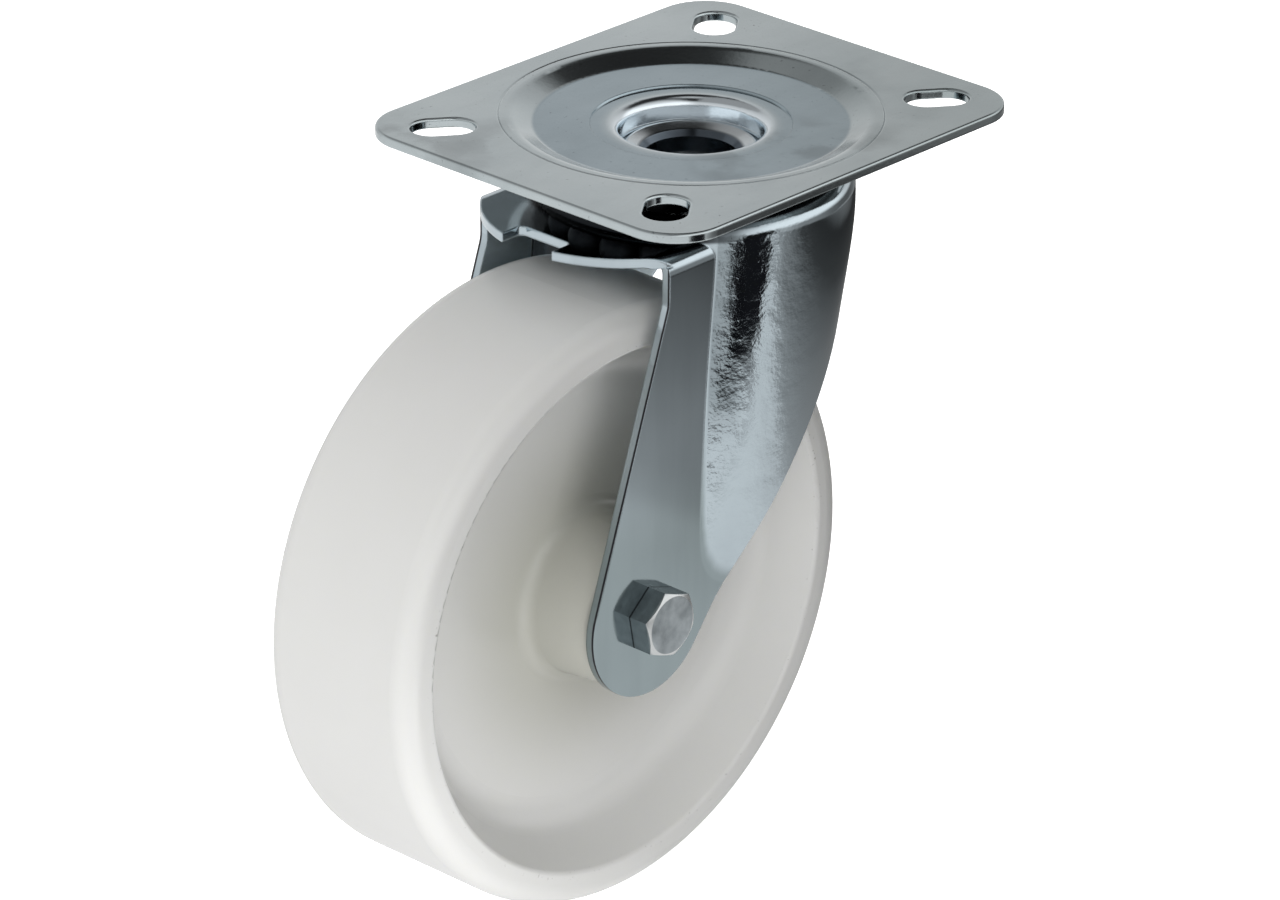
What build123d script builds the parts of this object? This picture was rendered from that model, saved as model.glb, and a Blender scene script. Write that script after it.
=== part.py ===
"""Swivel castor: a 160 x 50 mm plain nylon wheel in a pressed-steel fork under a top plate.

Frame (millimetres): the origin is on the swivel axis, at the centre of the plate's mounting
face. +Z is up, +X is the leading side of the fork, and the wheel trails towards -X. The axle
lies along Y, with the bolt's head on the -Y side and the nut on the +Y side.
"""
from build123d import *
from math import acos, atan2, cos, degrees, hypot, radians, sin, sqrt, tan
import os

os.makedirs("parts", exist_ok=True)

# ------------------------------------------------------------------ driving dimensions
SHEET = 2.5  # steel sheet of the top plate and of the fork
FIT = 0.06  # radial running clearance of balls and rollers in their tracks
REACH = 60.0  # longer than half of any piece, for cuts that go right through

# top plate
PLATE_LENGTH = 130.0  # along X
PLATE_WIDTH = 111.0  # along Y
PLATE_CORNER = 14.0
EDGE_ROUND = 0.7  # on the sheared top edges
SLOT_SPACING_X = 100.6
SLOT_SPACING_Y = 76.0
SLOT_WIDTH = 11.0
SLOT_LENGTH = 16.5  # end to end, along the line to the plate's centre
DISH_RIM = 45.9  # radius where the pressed dish leaves the flat
DISH_FLOOR = 40.0
DISH_DEPTH = 2.6
DISH_EASE = 3.0  # bend radius inside the dish
STEP_RADIUS = 25.7
STEP_DEPTH = 0.6
FUNNEL_MOUTH = 18.6
FUNNEL_END = 17.3
FUNNEL_DEPTH = 10.0  # down to the funnel's floor
PIN_NECK = 13.8  # radius of the hole in the funnel's floor

# swivel head
PIN_RADIUS = 17.0
PIN_LIP = 1.5  # height of the riveted lip above the funnel's floor
PIN_LIP_ROUND = 0.6
PIN_COLLAR = 13.0  # radius where the lip starts to slope into the bore
PIN_BORE = 11.85
PIN_BORE_LENGTH = 4.0
PIN_SLOPE = 1.3  # fall of each sloped ring above and below the bore
PIN_SKIRT_BORE = 13.4  # radius of the wider bore below the neck
PIN_FLANGE_RADIUS = 22.0
PIN_FLANGE = 3.0
PIN_FLANGE_ROUND = 1.0
LIP_GAP = 0.1  # between the lip and the funnel's wall
UPPER_BALL = 10.0
UPPER_TRACK = 32.5  # pitch radius
UPPER_COUNT = 19
LOWER_BALL = 8.0
LOWER_TRACK = 23.5
LOWER_COUNT = 17
GROOVE = 1.1  # depth of each coined ball track
RACE_RADIUS = 31.0
RACE_RIM = 2.6  # height of the race's upturned rim above its floor

# fork
FORK_INSIDE = 60.0  # between the legs
BEND = 5.0  # outside radius of the bends in the sheet
CROWN_RADIUS = 41.7
CROWN_SKIRT = 0.6  # straight wall between the crown's bend and the drum
CROWN_HOLE = 18.2
TONGUE_TOP = -17.4
TONGUE_RADIUS = 36.0
TONGUE_CENTRE = -24.6
NOTCH_WIDTH = 17.0  # slot for a directional lock
NOTCH_END = -52.7
NOTCH_CORNER = 2.0
LEG_TOP = (-42.8, -30.5)  # x and z where the rear edge turns down from the tongue
LEG_TURN = 8.0  # radius of that turn
LEG_END_RADIUS = 20.65
LEG_END_SHIFT = (-1.2, 0.1)  # centre of the round end, x and z
LEG_WAIST = (22.4, -3.1)  # front edge from here up, measured from the axle
LEG_WAIST_BEND = 40.0
LEG_SHIN = (41.4, 16.8)  # also from the axle, as is the round end's centre above
LEG_SHIN_BEND = 90.0
LEG_KNEE = (8.5, -74.0)
LEG_KNEE_BEND = 90.0
LEG_FRONT = (44.0, -22.0)

# wheel and axle
TRAIL = 47.8
AXLE_DROP = 113.4
WHEEL_RADIUS = 80.0
WHEEL_WIDTH = 50.0
SHOULDER = 6.0
RECESS_RIM = 70.5
RIM_ROUND = 1.5
RECESS_WALL = 9.0  # how far the recess wall closes in from the rim to the web
RECESS_FILLET = 10.0
WEB = 17.0
HUB_RADIUS = 20.0
HUB_DRAFT = 1.8
HUB_FILLET = 4.0
HUB_ROUND = 1.2
HUB_BORE_ROUND = 0.6
AXLE_THREAD = 10.0
THREAD_CHAMFER = 1.0
BOLT_LENGTH = 80.0
BOLT_HOLE = 10.5
HEX_FLATS = 16.0
HEX_TURN = 41.0  # degrees from the leading direction to a corner
HEX_FACE = 15.2  # diameter of the flat face inside the chamfer
HEX_CHAMFER = 30.0  # degrees
HEAD_HEIGHT = 6.5
NUT_HEIGHT = 10.3
NUT_HEX_HEIGHT = 7.7
COLLAR_RADIUS = 7.2
INSERT_THICKNESS = 2.5
INSERT_RADIUS = 6.3
NUT_LIP = 0.7  # rim turned over the insert
TUBE_RADIUS = 7.5
TUBE_BORE = 10.4
WASHER_THICKNESS = 1.4
WASHER_RADIUS = 16.0
AXIAL_PLAY = 0.1
ROLLER = 4.0
ROLLER_COUNT = 10
ROLLER_LENGTH = 44.0
CAGE_LENGTH = 50.0
CAGE_GAP = 0.3  # between the cage and the bore or the tube

# ------------------------------------------------------------------ derived levels
dish_under = -DISH_DEPTH - SHEET
funnel_under = -FUNNEL_DEPTH - SHEET
upper_ball_z = dish_under + GROOVE - UPPER_BALL / 2 - FIT
crown_top = upper_ball_z - UPPER_BALL / 2 - FIT + GROOVE
crown_under = crown_top - SHEET
drum_top = crown_top - BEND - CROWN_SKIRT
tongue_under = TONGUE_TOP - SHEET
lower_ball_z = crown_under + GROOVE - LOWER_BALL / 2 - FIT
race_top = lower_ball_z - LOWER_BALL / 2 - FIT + GROOVE
race_under = race_top - SHEET
pin_bottom = race_under - PIN_FLANGE
leg_inner = FORK_INSIDE / 2
leg_outer = leg_inner + SHEET
nut_end = leg_outer + NUT_HEIGHT
insert_end = nut_end - NUT_LIP
insert_start = insert_end - INSERT_THICKNESS
hub_half = leg_inner - WASHER_THICKNESS - 2 * AXIAL_PLAY
roller_track = TUBE_RADIUS + FIT + ROLLER / 2
hub_bore = roller_track + ROLLER / 2 + FIT

# the axle, with a plane across it (seen from the bolt's head) and one along it (y is radial)
AXLE = (-TRAIL, 0, -AXLE_DROP)
AXLE_AXIS = Axis(AXLE, (0, 1, 0))
axle_side = Plane(origin=AXLE, x_dir=(1, 0, 0), z_dir=(0, -1, 0))
axle_section = Plane(origin=AXLE, x_dir=(0, 1, 0), z_dir=(1, 0, 0))


def profile(*corners):
    """Closed line through (x, y, corner radius) triples."""
    points = [(x, y) for x, y, _ in corners]
    FilletPolyline(*points, radius=[radius for _, _, radius in corners], close=True)


def across_axle(distance, outwards=1):
    """Plane across the axle at this y, with its normal along +Y or, for -1, along -Y."""
    return Plane(origin=(AXLE[0], distance, AXLE[2]), x_dir=(1, 0, 0), z_dir=(0, outwards, 0))


def finish(piece, label):
    """Name a finished piece and write it out."""
    piece.part.label = label
    export_step(piece.part, f"parts/{label}.step")


# ------------------------------------------------------------------ top plate
with BuildPart() as top_plate:
    with BuildSketch(Plane.XY.offset(-SHEET)):
        RectangleRounded(PLATE_LENGTH, PLATE_WIDTH, PLATE_CORNER)
        Circle(DISH_RIM + SHEET, mode=Mode.SUBTRACT)
        for side_x in (-1, 1):
            for side_y in (-1, 1):
                lean = degrees(atan2(side_y * SLOT_SPACING_Y, side_x * SLOT_SPACING_X))
                with Locations((side_x * SLOT_SPACING_X / 2, side_y * SLOT_SPACING_Y / 2)):
                    SlotOverall(SLOT_LENGTH, SLOT_WIDTH, rotation=lean, mode=Mode.SUBTRACT)
    extrude(amount=SHEET)
    top_edges = top_plate.edges().group_by(Axis.Z)[-1]
    fillet(top_edges.filter_by(lambda edge: edge.center().length > DISH_RIM), EDGE_ROUND)
    # the pressed centre: dish, step and the funnel that holds the swivel pin
    with BuildSketch(Plane.XZ):
        with BuildLine():
            profile(
                (DISH_RIM + SHEET, 0, 0),
                (DISH_RIM, 0, 2 * SHEET),
                (DISH_FLOOR, -DISH_DEPTH, DISH_EASE),
                (STEP_RADIUS, -DISH_DEPTH, 0),
                (STEP_RADIUS - STEP_DEPTH / 2, -DISH_DEPTH - STEP_DEPTH, 0),
                (FUNNEL_MOUTH, -DISH_DEPTH - STEP_DEPTH, SHEET),
                (FUNNEL_END, -FUNNEL_DEPTH, 0),
                (PIN_NECK, -FUNNEL_DEPTH, 0),
                (PIN_NECK, funnel_under, 0),
                (FUNNEL_END + SHEET, funnel_under, SHEET * 0.8),
                (FUNNEL_MOUTH + SHEET, dish_under - STEP_DEPTH, SHEET / 3),
                (STEP_RADIUS + SHEET - STEP_DEPTH, dish_under - STEP_DEPTH, 0),
                (STEP_RADIUS + SHEET, dish_under, 0),
                (DISH_FLOOR + FIT, dish_under, DISH_EASE),
                (DISH_RIM, -SHEET, DISH_EASE),
                (DISH_RIM + SHEET, -SHEET, 0),
            )
        make_face()
    revolve(axis=Axis.Z)
    with BuildSketch(Plane.XZ):  # coined track for the upper balls
        with Locations((UPPER_TRACK, upper_ball_z)):
            Circle(UPPER_BALL / 2 + FIT)
    revolve(axis=Axis.Z, mode=Mode.SUBTRACT)
finish(top_plate, "top_plate")

# ------------------------------------------------------------------ swivel head
lip_top = -FUNNEL_DEPTH + PIN_LIP
collar_top = lip_top - PIN_SLOPE
bore_top = -FUNNEL_DEPTH - PIN_SLOPE
skirt_top = bore_top - PIN_BORE_LENGTH - PIN_SLOPE
with BuildPart() as swivel_pin:
    with BuildSketch(Plane.XZ):
        with BuildLine():
            profile(
                (PIN_RADIUS - LIP_GAP, -FUNNEL_DEPTH, 0),
                (PIN_RADIUS - LIP_GAP, lip_top, PIN_LIP_ROUND),
                (PIN_COLLAR, collar_top, 0),
                (PIN_BORE, bore_top, 0),
                (PIN_BORE, bore_top - PIN_BORE_LENGTH, 0),
                (PIN_SKIRT_BORE, skirt_top, 0),
                (PIN_SKIRT_BORE, pin_bottom, 0),
                (PIN_FLANGE_RADIUS, pin_bottom, PIN_FLANGE_ROUND),
                (PIN_FLANGE_RADIUS, race_under, 0),
                (PIN_RADIUS, race_under, 0),
                (PIN_RADIUS, funnel_under, 0),
                (PIN_NECK, funnel_under, 0),
                (PIN_NECK, -FUNNEL_DEPTH, 0),
            )
        make_face()
    revolve(axis=Axis.Z)
finish(swivel_pin, "swivel_pin")

with BuildPart() as lower_race:
    with BuildSketch(Plane.XZ):
        with BuildLine():
            profile(
                (PIN_RADIUS, race_top, 0),
                (RACE_RADIUS - SHEET, race_top, 0),
                (RACE_RADIUS - SHEET, race_top + RACE_RIM, 0),
                (RACE_RADIUS, race_top + RACE_RIM, 0),
                (RACE_RADIUS, race_under, SHEET),
                (PIN_RADIUS, race_under, 0),
            )
        make_face()
    revolve(axis=Axis.Z)
    with BuildSketch(Plane.XZ):
        with Locations((LOWER_TRACK, lower_ball_z)):
            Circle(LOWER_BALL / 2 + FIT)
    revolve(axis=Axis.Z, mode=Mode.SUBTRACT)
finish(lower_race, "lower_race")

with BuildPart(Plane.XY.offset(upper_ball_z)) as upper_balls:
    with PolarLocations(UPPER_TRACK, UPPER_COUNT):
        Sphere(UPPER_BALL / 2)
finish(upper_balls, "upper_balls")

with BuildPart(Plane.XY.offset(lower_ball_z)) as lower_balls:
    with PolarLocations(LOWER_TRACK, LOWER_COUNT):
        Sphere(LOWER_BALL / 2)
finish(lower_balls, "lower_balls")

# ------------------------------------------------------------------ fork
# Below the crown the fork's front is a drum whose sides flatten into the straight legs.
# Each section of it, against the crown: drop below the crown, shift of the near side's arc
# along x and y, and growth of its radius.
DRUM_SECTIONS = (
    (0, 0, 0, 0),
    (17.4, -1.5, 0.8, 0.5),
    (37.4, -4.6, 3.6, 1.9),
    (63.4, -8.5, 24.4, 19.25),
    (81.4, -12.0, 80.8, 73.1),
    (101.4, -14.0, 160.0, 150.3),
)
DRUM_BACK = -38.0
DRUM_JOIN = 26.0  # x where the side arcs meet the front arc


def drum_section(drop, centre_x, centre_y, growth, inset):
    """One horizontal section of the drum, moved inwards by the inset."""
    side = CROWN_RADIUS + growth - inset
    back_y = centre_y - sqrt(side**2 - (DRUM_BACK - centre_x) ** 2)
    low_y = centre_y - side
    join_y = centre_y - sqrt(side**2 - (DRUM_JOIN - centre_x) ** 2)
    slope = (DRUM_JOIN - centre_x) / (centre_y - join_y)
    front_centre = DRUM_JOIN + slope * join_y
    front_x = front_centre + sqrt((DRUM_JOIN - front_centre) ** 2 + join_y**2)
    with BuildSketch(Plane.XY.offset(drum_top - drop)) as section:
        with BuildLine():
            ThreePointArc((DRUM_BACK, back_y), (centre_x, low_y), (DRUM_JOIN, join_y))
            ThreePointArc((DRUM_JOIN, join_y), (front_x, 0), (DRUM_JOIN, -join_y))
            ThreePointArc((DRUM_JOIN, -join_y), (centre_x, -low_y), (DRUM_BACK, -back_y))
            Line((DRUM_BACK, -back_y), (DRUM_BACK, back_y))
        make_face()
    return section.sketch


leg_end = (AXLE[0] + LEG_END_SHIFT[0], AXLE[2] + LEG_END_SHIFT[1])
leg_waist = (AXLE[0] + LEG_WAIST[0], AXLE[2] + LEG_WAIST[1])
leg_shin = (AXLE[0] + LEG_SHIN[0], AXLE[2] + LEG_SHIN[1])


def end_tangent(start, side):
    """Where a line from this point touches the leg's round end, at its rear (1) or front (-1)."""
    run_x = start[0] - leg_end[0]
    run_z = start[1] - leg_end[1]
    turn = atan2(run_z, run_x) + side * acos(LEG_END_RADIUS / hypot(run_x, run_z))
    return (leg_end[0] + LEG_END_RADIUS * cos(turn), leg_end[1] + LEG_END_RADIUS * sin(turn))


def fork_body(inset, mode):
    """Legs and tongue, crown and drum, this far inside the fork's outer surface."""
    half = leg_outer - inset
    bend = BEND - inset
    with BuildSketch(Plane.YZ.offset(-2 * REACH)) as channel:
        with BuildLine():
            profile(
                (-half, TONGUE_TOP - inset, bend),
                (half, TONGUE_TOP - inset, bend),
                (half, -AXLE_DROP - REACH, 0),
                (-half, -AXLE_DROP - REACH, 0),
            )
        make_face()
    with BuildSketch(Plane.XZ) as crown:
        with BuildLine():
            profile(
                (0, crown_top - inset, 0),
                (CROWN_RADIUS - inset, crown_top - inset, bend),
                (CROWN_RADIUS - inset, drum_top, 0),
                (0, drum_top, 0),
            )
        make_face()
    extrude(channel.sketch, amount=2 * REACH + BEND + SHEET, mode=mode)
    revolve(crown.sketch, axis=Axis.Z, mode=mode)
    loft(sections=[drum_section(*row, inset) for row in DRUM_SECTIONS], mode=mode)


with BuildPart() as fork:
    fork_body(0, Mode.ADD)
    fork_body(SHEET, Mode.SUBTRACT)
    # side view: only the tongue, the crown and the two raked legs are kept
    clear_under = tongue_under - SHEET / 5
    with BuildSketch(Plane.XZ):
        with BuildLine():
            profile(
                (*leg_end, 0),
                (*end_tangent(LEG_TOP, 1), 0),
                (*LEG_TOP, LEG_TURN),
                (LEG_TOP[0], clear_under, 0),
                (-2 * REACH, clear_under, 0),
                (-2 * REACH, 0, 0),
                (REACH, 0, 0),
                (REACH, LEG_FRONT[1], 0),
                (*LEG_FRONT, BEND),
                (*LEG_KNEE, LEG_KNEE_BEND),
                (*leg_shin, LEG_SHIN_BEND),
                (*leg_waist, LEG_WAIST_BEND),
                (*end_tangent(leg_waist, -1), 0),
            )
        make_face()
        with Locations(leg_end):
            Circle(LEG_END_RADIUS)
    extrude(amount=REACH, both=True, mode=Mode.INTERSECT)
    # plan view: the tongue's round end, and its notch for a directional lock
    with BuildSketch(Plane.XY.offset(clear_under)):
        with Locations((TONGUE_CENTRE - REACH - BEND, 0)):
            Rectangle(2 * REACH - BEND, 2 * REACH)
        with Locations((TONGUE_CENTRE, 0)):
            Circle(TONGUE_RADIUS, mode=Mode.SUBTRACT)
        with BuildLine():
            profile(
                (NOTCH_END, -NOTCH_WIDTH / 2, NOTCH_CORNER),
                (NOTCH_END, NOTCH_WIDTH / 2, NOTCH_CORNER),
                (-2 * REACH, NOTCH_WIDTH / 2, 0),
                (-2 * REACH, -NOTCH_WIDTH / 2, 0),
            )
        make_face()
    extrude(amount=2 * SHEET, mode=Mode.SUBTRACT)
    # holes for the swivel pin and the axle bolt
    with BuildSketch(Plane.XY.offset(crown_under - SHEET)):
        Circle(CROWN_HOLE)
    extrude(amount=3 * SHEET, mode=Mode.SUBTRACT)
    with BuildSketch(axle_side):
        Circle(BOLT_HOLE / 2)
    extrude(amount=REACH, both=True, mode=Mode.SUBTRACT)
    # coined ball tracks on both faces of the crown
    with BuildSketch(Plane.XZ):
        with Locations((UPPER_TRACK, upper_ball_z)):
            Circle(UPPER_BALL / 2 + FIT)
        with Locations((LOWER_TRACK, lower_ball_z)):
            Circle(LOWER_BALL / 2 + FIT)
    revolve(axis=Axis.Z, mode=Mode.SUBTRACT)
finish(fork, "fork")


# ------------------------------------------------------------------ axle
def hexagon(height, start, outwards):
    """Hexagon across the axle from a seat at y = start, chamfered at its outer end."""
    corner = HEX_FLATS / sqrt(3)
    outside = corner + HEX_FLATS / 2  # well clear of the corners
    chamfer_drop = (outside - HEX_FACE / 2) * tan(radians(HEX_CHAMFER))
    end = start + outwards * height
    with BuildSketch(across_axle(start, outwards)) as outline:
        RegularPolygon(HEX_FLATS / 2, 6, major_radius=False, rotation=-outwards * HEX_TURN)
    extrude(outline.sketch, amount=height)
    with BuildSketch(axle_section) as chamfer_cut:
        with BuildLine():
            profile(
                (end, HEX_FACE / 2, 0),
                (end, outside, 0),
                (end - outwards * chamfer_drop, outside, 0),
            )
        make_face()
    revolve(chamfer_cut.sketch, axis=AXLE_AXIS, mode=Mode.SUBTRACT)


with BuildPart() as axle_bolt:
    hexagon(HEAD_HEIGHT, -leg_outer, -1)
    with BuildSketch(across_axle(-leg_outer)):
        Circle(AXLE_THREAD / 2)
    extrude(amount=BOLT_LENGTH)
    chamfer(axle_bolt.faces().sort_by(Axis.Y)[-1].edges(), THREAD_CHAMFER)
finish(axle_bolt, "axle_bolt")

with BuildPart() as lock_nut:
    hexagon(NUT_HEX_HEIGHT, leg_outer, 1)
    with BuildSketch(across_axle(leg_outer)):
        Circle(COLLAR_RADIUS)
    extrude(amount=NUT_HEIGHT)
    fillet(lock_nut.faces().sort_by(Axis.Y)[-1].edges(), COLLAR_RADIUS - INSERT_RADIUS)
    with BuildSketch(across_axle(leg_outer)):
        Circle(AXLE_THREAD / 2)
    extrude(amount=NUT_HEIGHT, mode=Mode.SUBTRACT)
    with BuildSketch(across_axle(insert_start)):
        Circle(INSERT_RADIUS)
    extrude(amount=INSERT_THICKNESS, mode=Mode.SUBTRACT)
finish(lock_nut, "lock_nut")

with BuildPart() as nut_insert:
    with BuildSketch(across_axle(insert_start)):
        Circle(INSERT_RADIUS)
        Circle(AXLE_THREAD / 2, mode=Mode.SUBTRACT)
    extrude(amount=INSERT_THICKNESS)
finish(nut_insert, "nut_insert")

with BuildPart() as axle_tube:
    with BuildSketch(axle_side):
        Circle(TUBE_RADIUS)
        Circle(TUBE_BORE / 2, mode=Mode.SUBTRACT)
    extrude(amount=leg_inner, both=True)
finish(axle_tube, "axle_tube")

for side, name in ((-1, "near_washer"), (1, "far_washer")):
    with BuildPart() as washer:
        with BuildSketch(across_axle(side * (leg_inner - AXIAL_PLAY), -side)):
            Circle(WASHER_RADIUS)
            Circle(TUBE_RADIUS + FIT, mode=Mode.SUBTRACT)
        extrude(amount=WASHER_THICKNESS)
    finish(washer, name)

# ------------------------------------------------------------------ wheel
with BuildPart() as wheel:
    with BuildSketch(axle_section):
        with BuildLine():
            FilletPolyline(
                (0, hub_bore),
                (hub_half, hub_bore),
                (hub_half, HUB_RADIUS),
                (WEB / 2, HUB_RADIUS + HUB_DRAFT),
                (WEB / 2, RECESS_RIM - RECESS_WALL),
                (WHEEL_WIDTH / 2, RECESS_RIM),
                (WHEEL_WIDTH / 2, WHEEL_RADIUS),
                (0, WHEEL_RADIUS),
                radius=(HUB_BORE_ROUND, HUB_ROUND, HUB_FILLET, RECESS_FILLET, RIM_ROUND, SHOULDER),
            )
            Line((0, WHEEL_RADIUS), (0, hub_bore))
        make_face()
        mirror(about=Plane.YZ)
    revolve(axis=AXLE_AXIS)
finish(wheel, "wheel")

with BuildPart() as roller_cage:
    with BuildSketch(axle_side):
        Circle(hub_bore - CAGE_GAP)
        Circle(TUBE_RADIUS + CAGE_GAP, mode=Mode.SUBTRACT)
    extrude(amount=CAGE_LENGTH / 2, both=True)
    with BuildSketch(axle_side):
        with PolarLocations(roller_track, ROLLER_COUNT):
            Circle(ROLLER / 2 + FIT)
    extrude(amount=ROLLER_LENGTH / 2 + FIT, both=True, mode=Mode.SUBTRACT)
finish(roller_cage, "roller_cage")

with BuildPart() as rollers:
    with BuildSketch(axle_side):
        with PolarLocations(roller_track, ROLLER_COUNT):
            Circle(ROLLER / 2)
    extrude(amount=ROLLER_LENGTH / 2, both=True)
finish(rollers, "rollers")
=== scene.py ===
# %% [markdown]
# # A swivel castor in Blender
# The castor has a slotted top plate, a pressed steel fork that turns under it on two rows of
# balls, and a plain nylon wheel on a bolt. Its solids were drawn at their real size and are
# loaded here as a fixed frame. This lesson dresses them: it gives every piece its finish,
# adds the fine thread that was left out of the solids, and sets up the studio.

import math

import bmesh
import bpy
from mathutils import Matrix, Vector


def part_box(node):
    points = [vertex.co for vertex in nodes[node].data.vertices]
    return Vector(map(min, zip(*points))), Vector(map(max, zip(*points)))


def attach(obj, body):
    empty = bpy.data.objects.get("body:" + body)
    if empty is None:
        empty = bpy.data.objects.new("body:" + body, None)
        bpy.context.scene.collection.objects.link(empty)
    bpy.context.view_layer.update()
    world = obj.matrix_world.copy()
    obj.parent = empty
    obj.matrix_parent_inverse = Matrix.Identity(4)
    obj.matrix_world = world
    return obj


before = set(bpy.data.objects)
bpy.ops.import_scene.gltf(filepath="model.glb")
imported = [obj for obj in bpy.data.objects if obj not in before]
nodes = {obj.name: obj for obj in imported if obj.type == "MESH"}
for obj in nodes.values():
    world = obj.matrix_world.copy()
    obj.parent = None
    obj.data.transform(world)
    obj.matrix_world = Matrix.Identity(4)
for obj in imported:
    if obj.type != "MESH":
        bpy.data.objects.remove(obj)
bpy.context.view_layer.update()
print("solids loaded:", ", ".join(sorted(nodes)))

# %% [markdown]
# ## Where things are
# The wheel turns on its axle and stands on the floor. Both places could be typed in, but then
# they would stay behind if the wheel's solid changed. So they are read from its box.

# %% Places and sizes
MM = 0.001

wheel_low, wheel_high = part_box("wheel")
axle = (wheel_low + wheel_high) / 2
floor_z = wheel_low.z
print(f"axle at x {axle.x:.4f} z {axle.z:.4f} m, floor at z {floor_z:.4f} m")

# %% [markdown]
# ## The camera
# A near camera would make the plate's front corner look too large. A long lens far away keeps
# the plate's edges nearly parallel. The angles are the turn of the camera about X, Y and Z.
# A constraint could aim it instead, but not with the very slight tilt of the second angle.

# %% Camera
CAMERA_PLACE = (-1.12913, -1.03162, 0.60752)
CAMERA_TURN = (65.374, -0.357, -46.959)
CAMERA_LENS = 183.99
CAMERA_SENSOR = 36.0

camera_data = bpy.data.cameras.new("camera")
camera_data.lens = CAMERA_LENS
camera_data.sensor_width = CAMERA_SENSOR
camera = bpy.data.objects.new("camera", camera_data)
camera.location = CAMERA_PLACE
camera.rotation_euler = [math.radians(angle) for angle in CAMERA_TURN]
bpy.context.scene.collection.objects.link(camera)
bpy.context.scene.camera = camera
bpy.context.scene.view_settings.view_transform = "Standard"
print("camera distance:", round(camera.location.length, 3), "m")

# %% [markdown]
# ## Drawing with nodes
# A finish is a small network of shader nodes: it asks where on the piece a point lies, and
# answers with a colour, a roughness or a height. The nodes could be placed by hand in the
# editor. A script keeps their numbers readable, so a few helpers come first: any node, an
# arithmetic node, a range carried over to another, a soft step, and the place of a point.


# %% Node helpers
def add_node(tree, kind, values=(), **settings):
    """A node of this kind; values are (socket name, number or output to link)."""
    node = tree.nodes.new("ShaderNode" + kind)
    for name, value in settings.items():
        setattr(node, name, value)
    for name, value in values:
        if isinstance(value, bpy.types.NodeSocket):
            tree.links.new(value, node.inputs[name])
        else:
            node.inputs[name].default_value = value
    return node


def arithmetic(tree, operation, *values):
    """One arithmetic node; gives its output."""
    return add_node(tree, "Math", list(enumerate(values)), operation=operation).outputs[0]


def carry_over(tree, value, start, end, low=0.0, high=1.0, curve="LINEAR"):
    """Carries the range from start to end over to the range from low to high."""
    ends = [("From Min", start), ("From Max", end), ("To Min", low), ("To Max", high)]
    node = add_node(tree, "MapRange", [("Value", value), *ends], interpolation_type=curve)
    return node.outputs["Result"]


def between(tree, value, start, end):
    """0 before the start, 1 past the end, with a smooth step between."""
    return carry_over(tree, value, start, end, curve="SMOOTHSTEP")


def point(tree):
    """Where a surface point lies, as a vector in metres."""
    return add_node(tree, "TexCoord").outputs["Object"]


def split(tree, vector):
    """The X, Y and Z outputs of a vector."""
    return add_node(tree, "SeparateXYZ", [("Vector", vector)]).outputs


print("node helpers ready")

# %% [markdown]
# ## Node groups
# Several finishes need the same effect with other numbers. Its nodes could be copied into
# each of them, but a node group is built once, has named inputs like a part on a drawing, and
# is then placed in a material with that finish's own values.


# %% Group helpers
def new_group(name, inputs, outputs):
    """An empty shader node group with number inputs and outputs; gives it and its two ends."""
    group = bpy.data.node_groups.new(name, "ShaderNodeTree")
    for label, default in inputs.items():
        socket = group.interface.new_socket(
            label, in_out="INPUT", socket_type="NodeSocketFloat"
        )
        socket.default_value = default
    for label in outputs:
        group.interface.new_socket(label, in_out="OUTPUT", socket_type="NodeSocketFloat")
    entry = group.nodes.new("NodeGroupInput")
    leave = group.nodes.new("NodeGroupOutput")
    return group, entry.outputs, leave.inputs


def use_group(tree, group, **values):
    """Places a group in a material with its own values."""
    node = tree.nodes.new("ShaderNodeGroup")
    node.node_tree = group
    for name, value in values.items():
        node.inputs[name.replace("_", " ")].default_value = value
    return node.outputs


def noise(tree, place, scale, detail):
    """Cloudy noise at a place, with this many layers of detail."""
    values = [("Vector", place), ("Scale", scale), ("Detail", detail)]
    return add_node(tree, "TexNoise", values).outputs["Fac"]


print("group helpers ready")

# %% [markdown]
# ## Clouded plating
# Zinc is a bright blue-grey metal that grows on the steel in soft clouds, with a few dark
# specks. A painted picture would have a seam somewhere. Noise has none and runs on round
# every side of a piece, so the clouds and specks come from two scales of noise.

# %% Clouded plating
CLOUD_EDGES = (0.3, 0.7)  # noise levels where a cloud starts and where it is full
SPECK_GRAIN = 900.0
SPECK_EDGES = (0.68, 0.8)  # only the peaks of the fine noise become specks

clouds, entry, leave = new_group(
    "clouded plating", {"Scale": 30.0, "Amount": 0.5}, ["Cloud", "Speck"]
)
place = point(clouds)
broad = noise(clouds, place, entry["Scale"], detail=5.0)
cloud = arithmetic(
    clouds, "MULTIPLY", carry_over(clouds, broad, *CLOUD_EDGES), entry["Amount"]
)
clouds.links.new(cloud, leave["Cloud"])
fine = noise(clouds, place, SPECK_GRAIN, detail=2.0)
clouds.links.new(carry_over(clouds, fine, *SPECK_EDGES), leave["Speck"])
print(clouds.name, "has", len(clouds.nodes), "nodes")

# %% [markdown]
# ## Orange peel
# Where the press stretches the sheet, its skin turns pebbled like the peel of an orange. The
# pebbles could be modelled, but they are a few hundredths of a millimetre deep. A height made
# of noise bends the reflections in the same way.

# %% Orange peel
peel, entry, leave = new_group("orange peel", {"Grain": 1200.0, "Amount": 1.0}, ["Height"])
pebbles = noise(peel, point(peel), entry["Grain"], detail=3.0)
peel.links.new(arithmetic(peel, "MULTIPLY", pebbles, entry["Amount"]), leave["Height"])
print(peel.name, "has", len(peel.nodes), "nodes")

# %% [markdown]
# ## Rolling marks
# Sheet steel is rolled, and faint streaks along the rolling direction stay under the plating.
# A stripe pattern would look too regular. The same noise is used again, but a point's place
# is first multiplied by another number along each axis, which draws the noise out.

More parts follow.
